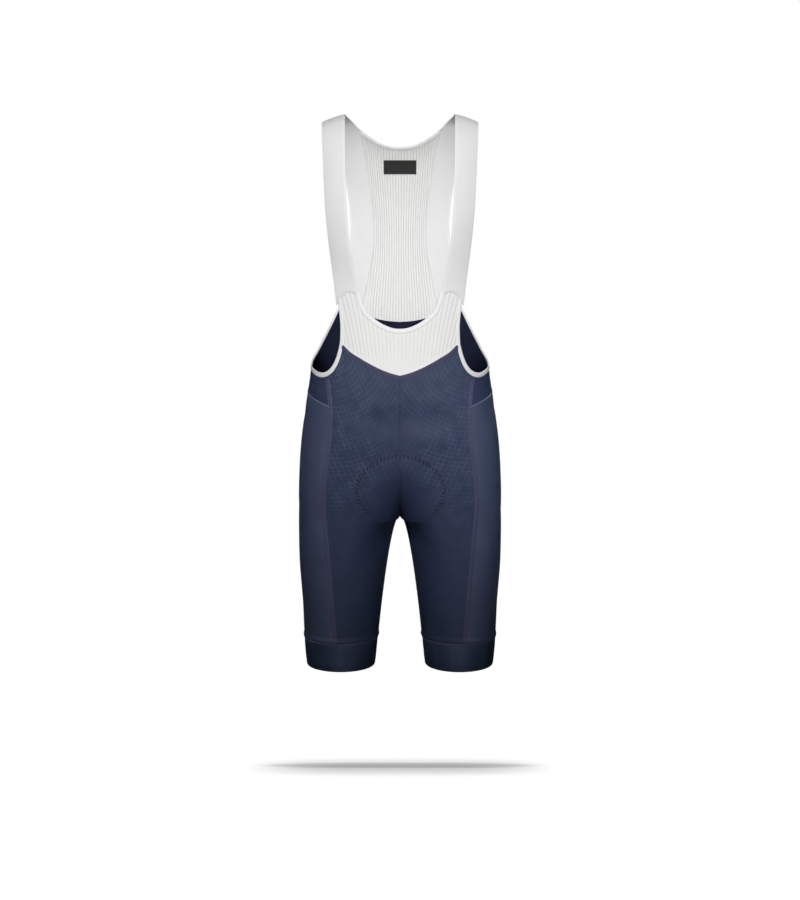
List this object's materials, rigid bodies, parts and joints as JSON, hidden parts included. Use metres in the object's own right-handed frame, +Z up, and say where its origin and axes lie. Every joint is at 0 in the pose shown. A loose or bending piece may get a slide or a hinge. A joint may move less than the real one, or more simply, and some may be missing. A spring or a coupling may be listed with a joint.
{
  "type": "cycling bib shorts",
  "caption": "Cycling bib shorts filled out as when worn, with a ribbed mesh bib and back, elastic braces and wide leg grippers.",
  "frame": {"origin": "on the middle plane at the height of the top of the shoulders, over the middle of the body's depth, where the braces rest on the wearer", "axes": "+Z up, +X to the wearer's left, the front faces -Y"},
  "size_m": [0.335, 0.247, 0.9061],
  "materials": {
    "navy_knit": "soft semi-matt warp knit with a fine tonal grid",
    "navy_side_knit": "soft sheen knit with a fine rib",
    "navy_gripper": "dense elastic with a light sheen",
    "white_mesh": "matt ribbed mesh",
    "white_elastic": "smooth matt elastic",
    "white_binding": "matt folded binding",
    "black_label": "matt woven label"
  },
  "bodies": {
    "root": {"front_panel_left": "navy_knit", "front_panel_right": "navy_knit", "side_back_panel_left": "navy_side_knit", "side_back_panel_right": "navy_side_knit", "back_yoke": "navy_knit", "gripper_left": "navy_gripper", "gripper_right": "navy_gripper", "front_mesh_panel": "white_mesh", "back_mesh_panel": "white_mesh", "strap_left": "white_elastic", "strap_right": "white_elastic", "neck_binding": "white_binding", "back_neck_binding": "white_binding", "armhole_binding_left": "white_binding", "armhole_binding_right": "white_binding", "back_label": "black_label"}
  },
  "joints": []
}
